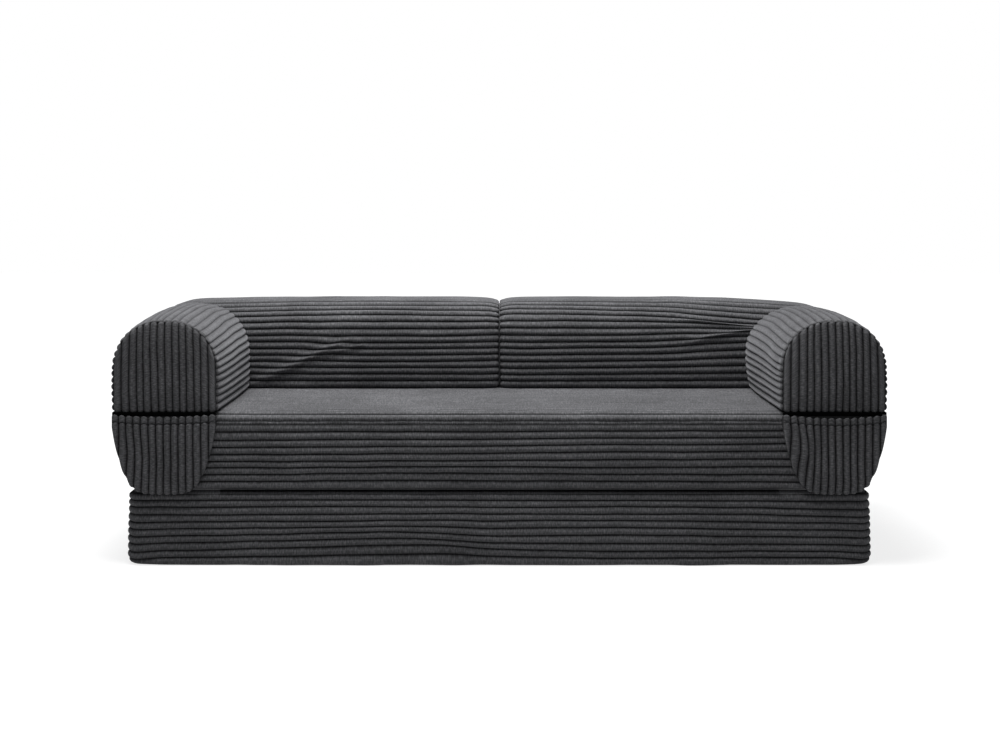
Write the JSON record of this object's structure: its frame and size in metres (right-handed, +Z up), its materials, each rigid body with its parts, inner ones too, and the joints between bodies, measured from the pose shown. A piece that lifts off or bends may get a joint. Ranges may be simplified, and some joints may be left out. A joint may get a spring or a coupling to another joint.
{
  "type": "sofa bed",
  "caption": "Low all-foam sofa bed in charcoal wide-wale corduroy: two hinged mattresses, two back cushions, two round-topped arm bolsters and a hanging pocket at the front of each arm.",
  "frame": {"origin": "middle of the footprint's bounding box, on the floor under the lower mattress", "axes": "+X along the sofa to the right as seen from the front, +Y from the front to the back, +Z up"},
  "size_m": [2.128, 0.7938, 0.684],
  "materials": {
    "corduroy": "matte",
    "base_cloth": "matte",
    "liner_cloth": "matte",
    "foam": "matte",
    "hook_and_loop": "matte",
    "zipper_tape": "matte",
    "zipper_metal": "satin"
  },
  "bodies": {
    "base": {"base_border_band": "corduroy", "base_bottom_panel": "base_cloth", "base_foam_core": "foam", "base_hinge_strip": "base_cloth", "base_liner": "liner_cloth", "base_top_panel": "corduroy", "base_zipper_tape": "zipper_tape"},
    "base_zipper_pull": {"base_zipper_pull": "zipper_metal"},
    "base_zipper_slider": {"base_zipper_slider": "zipper_metal"},
    "left_arm": {"left_arm_bottom_panel": "base_cloth", "left_arm_foam_core": "foam", "left_arm_front_panel": "corduroy", "left_arm_hook_strip": "hook_and_loop", "left_arm_rear_panel": "corduroy", "left_arm_wrap_cover": "corduroy", "left_arm_zipper_tape": "zipper_tape"},
    "left_arm_zipper_pull": {"left_arm_zipper_pull": "zipper_metal"},
    "left_arm_zipper_slider": {"left_arm_zipper_slider": "zipper_metal"},
    "left_back": {"left_back_bottom_panel": "base_cloth", "left_back_end_panels": "corduroy", "left_back_foam_core": "foam", "left_back_hook_strips": "hook_and_loop", "left_back_wrap_cover": "corduroy", "left_back_zipper_tape": "zipper_tape"},
    "left_back_zipper_pull": {"left_back_zipper_pull": "zipper_metal"},
    "left_back_zipper_slider": {"left_back_zipper_slider": "zipper_metal"},
    "left_pocket": {"left_pocket_back": "base_cloth", "left_pocket_front": "corduroy", "left_pocket_side_seam": "corduroy"},
    "right_arm": {"right_arm_bottom_panel": "base_cloth", "right_arm_foam_core": "foam", "right_arm_front_panel": "corduroy", "right_arm_hook_strip": "hook_and_loop", "right_arm_rear_panel": "corduroy", "right_arm_wrap_cover": "corduroy", "right_arm_zipper_tape": "zipper_tape"},
    "right_arm_zipper_pull": {"right_arm_zipper_pull": "zipper_metal"},
    "right_arm_zipper_slider": {"right_arm_zipper_slider": "zipper_metal"},
    "right_back": {"right_back_bottom_panel": "base_cloth", "right_back_end_panels": "corduroy", "right_back_foam_core": "foam", "right_back_hook_strips": "hook_and_loop", "right_back_wrap_cover": "corduroy", "right_back_zipper_tape": "zipper_tape"},
    "right_back_zipper_pull": {"right_back_zipper_pull": "zipper_metal"},
    "right_back_zipper_slider": {"right_back_zipper_slider": "zipper_metal"},
    "right_pocket": {"right_pocket_back": "base_cloth", "right_pocket_front": "corduroy", "right_pocket_side_seam": "corduroy"},
    "seat": {"seat_arm_loop_strips": "hook_and_loop", "seat_back_loop_strips": "hook_and_loop", "seat_border_band": "corduroy", "seat_bottom_panel": "corduroy", "seat_foam_core": "foam", "seat_hinge_strip": "base_cloth", "seat_liner": "liner_cloth", "seat_top_panel": "corduroy", "seat_zipper_tape": "zipper_tape"},
    "seat_zipper_pull": {"seat_zipper_pull": "zipper_metal"},
    "seat_zipper_slider": {"seat_zipper_slider": "zipper_metal"}
  },
  "joints": [
    {"name": "unfold", "type": "hinge", "parent": "seat", "child": "base", "pos_m": [0, -0.3869, 0.203], "axis": [-1, 0, 0], "range_deg": [0, 180]},
    {"name": "left_arm_lift", "type": "slide", "parent": "seat", "child": "left_arm", "axis": [0, 0, 1], "range_m": [0, 0.3]},
    {"name": "left_back_lift", "type": "slide", "parent": "seat", "child": "left_back", "axis": [0, 0, 1], "range_m": [0, 0.3]},
    {"name": "left_pocket_swing", "type": "hinge", "parent": "left_arm", "child": "left_pocket", "pos_m": [-0.911, -0.3789, 0.418], "axis": [-1, 0, 0], "range_deg": [0, 100]},
    {"name": "right_arm_lift", "type": "slide", "parent": "seat", "child": "right_arm", "axis": [0, 0, 1], "range_m": [0, 0.3]},
    {"name": "right_back_lift", "type": "slide", "parent": "seat", "child": "right_back", "axis": [0, 0, 1], "range_m": [0, 0.3]},
    {"name": "right_pocket_swing", "type": "hinge", "parent": "right_arm", "child": "right_pocket", "pos_m": [0.911, -0.3789, 0.418], "axis": [-1, 0, 0], "range_deg": [0, 100]},
    {"name": "base_zipper_slide", "type": "slide", "parent": "base", "child": "base_zipper_slider", "axis": [1, 0, 0], "range_m": [0, 1.848]},
    {"name": "base_zipper_pull_flip", "type": "hinge", "parent": "base_zipper_slider", "child": "base_zipper_pull", "pos_m": [-0.924, 0.3952, 0.1015], "axis": [0, 0, -1], "range_deg": [0, 180]},
    {"name": "seat_zipper_slide", "type": "slide", "parent": "seat", "child": "seat_zipper_slider", "axis": [1, 0, 0], "range_m": [0, 1.848]},
    {"name": "seat_zipper_pull_flip", "type": "hinge", "parent": "seat_zipper_slider", "child": "seat_zipper_pull", "pos_m": [-0.924, 0.3952, 0.29557], "axis": [0, 0, -1], "range_deg": [0, 180]},
    {"name": "left_back_zipper_slide", "type": "slide", "parent": "left_back", "child": "left_back_zipper_slider", "axis": [1, 0, 0], "range_m": [0, 0.8317]},
    {"name": "left_back_zipper_pull_flip", "type": "hinge", "parent": "left_back_zipper_slider", "child": "left_back_zipper_pull", "pos_m": [-0.92385, 0.3952, 0.4543], "axis": [0, 0, -1], "range_deg": [0, 180]},
    {"name": "right_back_zipper_slide", "type": "slide", "parent": "right_back", "child": "right_back_zipper_slider", "axis": [1, 0, 0], "range_m": [0, 0.8317]},
    {"name": "right_back_zipper_pull_flip", "type": "hinge", "parent": "right_back_zipper_slider", "child": "right_back_zipper_pull", "pos_m": [0.09215, 0.3952, 0.4543], "axis": [0, 0, -1], "range_deg": [0, 180]},
    {"name": "left_arm_zipper_slide", "type": "slide", "parent": "left_arm", "child": "left_arm_zipper_slider", "axis": [0, 1, 0], "range_m": [0, 0.2817]},
    {"name": "left_arm_zipper_pull_swing", "type": "hinge", "parent": "left_arm_zipper_slider", "child": "left_arm_zipper_pull", "pos_m": [-1.041, -0.2849, 0.4122], "axis": [1, 0, 0], "range_deg": [-90, 90]},
    {"name": "right_arm_zipper_slide", "type": "slide", "parent": "right_arm", "child": "right_arm_zipper_slider", "axis": [0, 1, 0], "range_m": [0, 0.2817]},
    {"name": "right_arm_zipper_pull_swing", "type": "hinge", "parent": "right_arm_zipper_slider", "child": "right_arm_zipper_pull", "pos_m": [1.041, -0.2849, 0.4122], "axis": [1, 0, 0], "range_deg": [-90, 90]}
  ]
}
